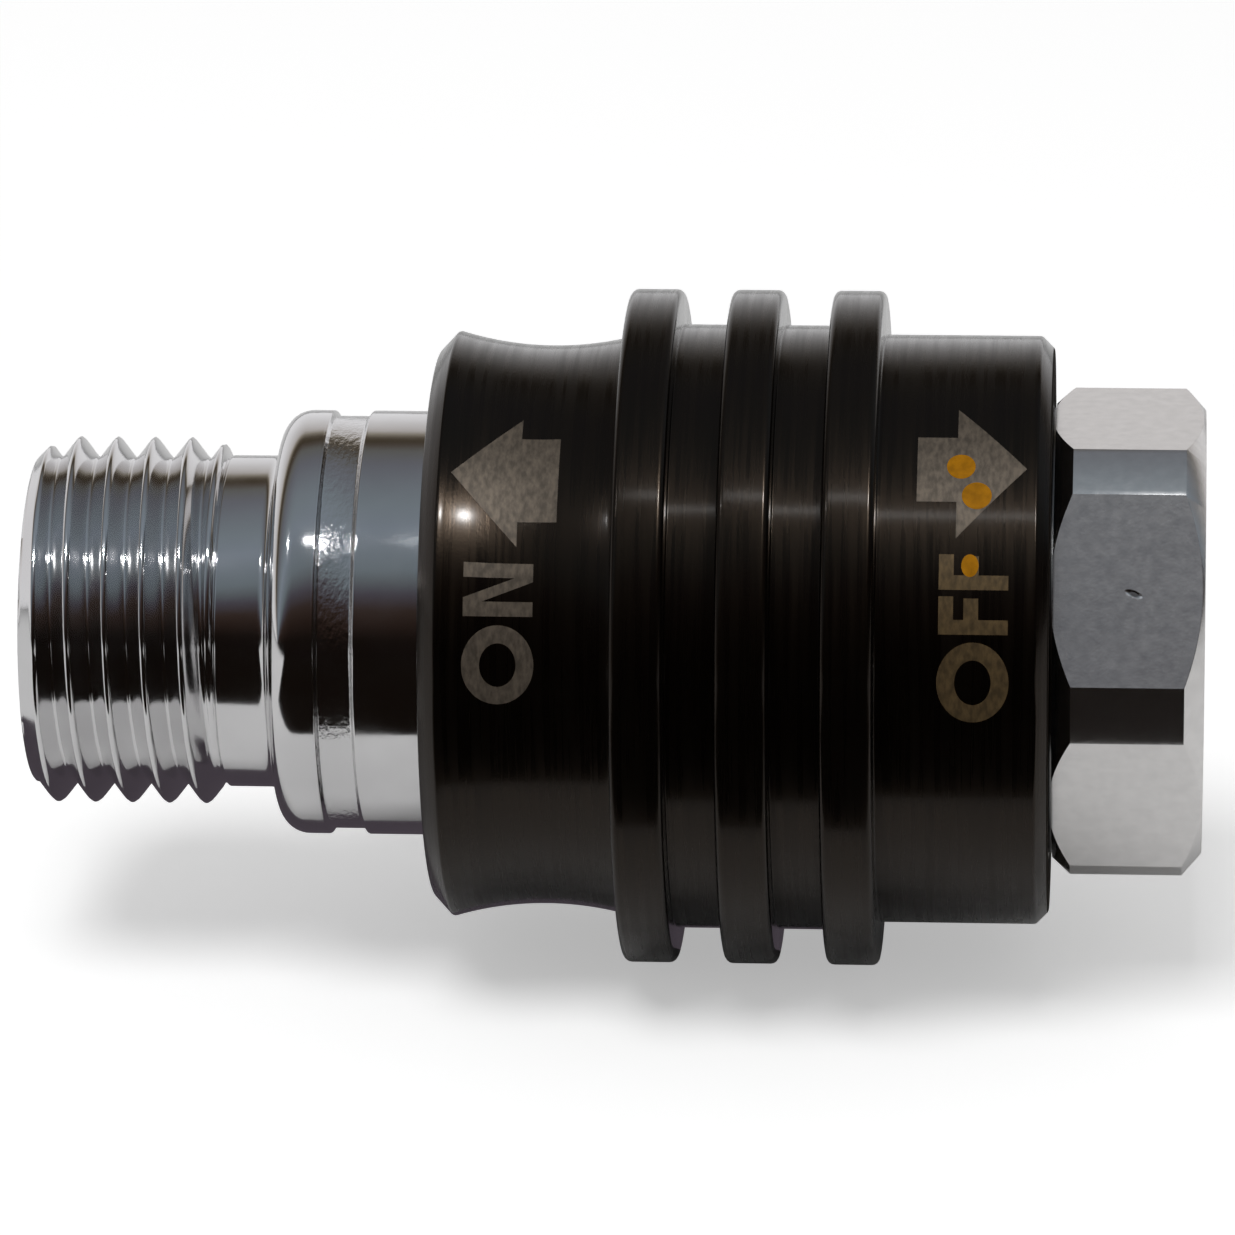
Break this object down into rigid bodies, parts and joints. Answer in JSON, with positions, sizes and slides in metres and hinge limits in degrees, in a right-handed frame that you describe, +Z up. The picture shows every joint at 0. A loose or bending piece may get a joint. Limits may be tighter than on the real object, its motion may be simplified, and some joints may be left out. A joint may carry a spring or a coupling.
{
  "type": "quick disconnect coupler",
  "caption": "Ball-lock pipe coupler with a ribbed on/off sleeve, a wrench end with a female port, and its male-threaded plug.",
  "frame": {"origin": "middle of the overall box: on the flow axis, half way between the open face of the wrench end and the end of the male thread", "axes": "+X along the flow axis towards the wrench end and its female port, -X towards the male thread, +Z up, square to one wrench flat"},
  "size_m": [0.0418, 0.024, 0.0242],
  "materials": {
    "plated_satin": "satin nickel plate over turned steel",
    "plated_bright": "bright plate over turned steel",
    "black_anodised": "brown-black anodised, fine turning marks",
    "valve_brass": "turned",
    "spring_steel": "drawn wire",
    "ball_steel": "polished",
    "nitrile": "matt black",
    "seal_plastic": "matt white",
    "gasket_fibre": "matt green-grey"
  },
  "bodies": {
    "coupler_body": {"rear_adapter": "plated_satin", "body_gasket": "gasket_fibre", "socket_body": "plated_satin", "spring_retainer": "valve_brass", "poppet_spring": "spring_steel", "stop_ring": "spring_steel", "sleeve_oring": "nitrile"},
    "detent_ring": {"detent_ring": "spring_steel"},
    "sleeve": {"sleeve": "black_anodised"},
    "probe_seals": {"probe_seal": "nitrile", "backup_ring": "seal_plastic"},
    "plug": {"plug_body": "plated_bright"},
    "poppet": {"poppet": "valve_brass", "poppet_seal": "nitrile"},
    "ball_1": {"lock_ball_1": "ball_steel"},
    "ball_2": {"lock_ball_2": "ball_steel"},
    "ball_3": {"lock_ball_3": "ball_steel"},
    "ball_4": {"lock_ball_4": "ball_steel"},
    "ball_5": {"lock_ball_5": "ball_steel"},
    "ball_6": {"lock_ball_6": "ball_steel"}
  },
  "joints": [
    {"name": "sleeve_turn", "type": "hinge", "parent": "coupler_body", "child": "detent_ring", "pos_m": [0, 0, 0], "axis": [1, 0, 0], "continuous": true},
    {"name": "sleeve_slide", "type": "slide", "parent": "detent_ring", "child": "sleeve", "axis": [-1, 0, 0], "range_m": [0, 0.0035]},
    {"name": "plug_turn", "type": "hinge", "parent": "coupler_body", "child": "probe_seals", "pos_m": [0, 0, 0], "axis": [1, 0, 0], "continuous": true},
    {"name": "plug_pull", "type": "slide", "parent": "probe_seals", "child": "plug", "axis": [-1, 0, 0], "range_m": [0, 0.015]},
    {"name": "poppet_slide", "type": "slide", "parent": "coupler_body", "child": "poppet", "axis": [-1, 0, 0], "range_m": [0, 0.002], "deforming": ["poppet_spring"]},
    {"name": "ball_1_slide", "type": "slide", "parent": "coupler_body", "child": "ball_1", "axis": [0, 0, -1], "range_m": [0, 0.0008]},
    {"name": "ball_2_slide", "type": "slide", "parent": "coupler_body", "child": "ball_2", "axis": [0, -0.866, -0.5], "range_m": [0, 0.0008]},
    {"name": "ball_3_slide", "type": "slide", "parent": "coupler_body", "child": "ball_3", "axis": [0, -0.866, 0.5], "range_m": [0, 0.0008]},
    {"name": "ball_4_slide", "type": "slide", "parent": "coupler_body", "child": "ball_4", "axis": [0, 0, 1], "range_m": [0, 0.0008]},
    {"name": "ball_5_slide", "type": "slide", "parent": "coupler_body", "child": "ball_5", "axis": [0, 0.866, 0.5], "range_m": [0, 0.0008]},
    {"name": "ball_6_slide", "type": "slide", "parent": "coupler_body", "child": "ball_6", "axis": [0, 0.866, -0.5], "range_m": [0, 0.0008]}
  ],
  "couplings": [
    {"joint": "poppet_slide", "follows": "plug_pull", "ratio": 0.13333},
    {"joint": "ball_1_slide", "follows": "sleeve_slide", "ratio": 0.22857},
    {"joint": "ball_2_slide", "follows": "sleeve_slide", "ratio": 0.22857},
    {"joint": "ball_3_slide", "follows": "sleeve_slide", "ratio": 0.22857},
    {"joint": "ball_4_slide", "follows": "sleeve_slide", "ratio": 0.22857},
    {"joint": "ball_5_slide", "follows": "sleeve_slide", "ratio": 0.22857},
    {"joint": "ball_6_slide", "follows": "sleeve_slide", "ratio": 0.22857}
  ]
}
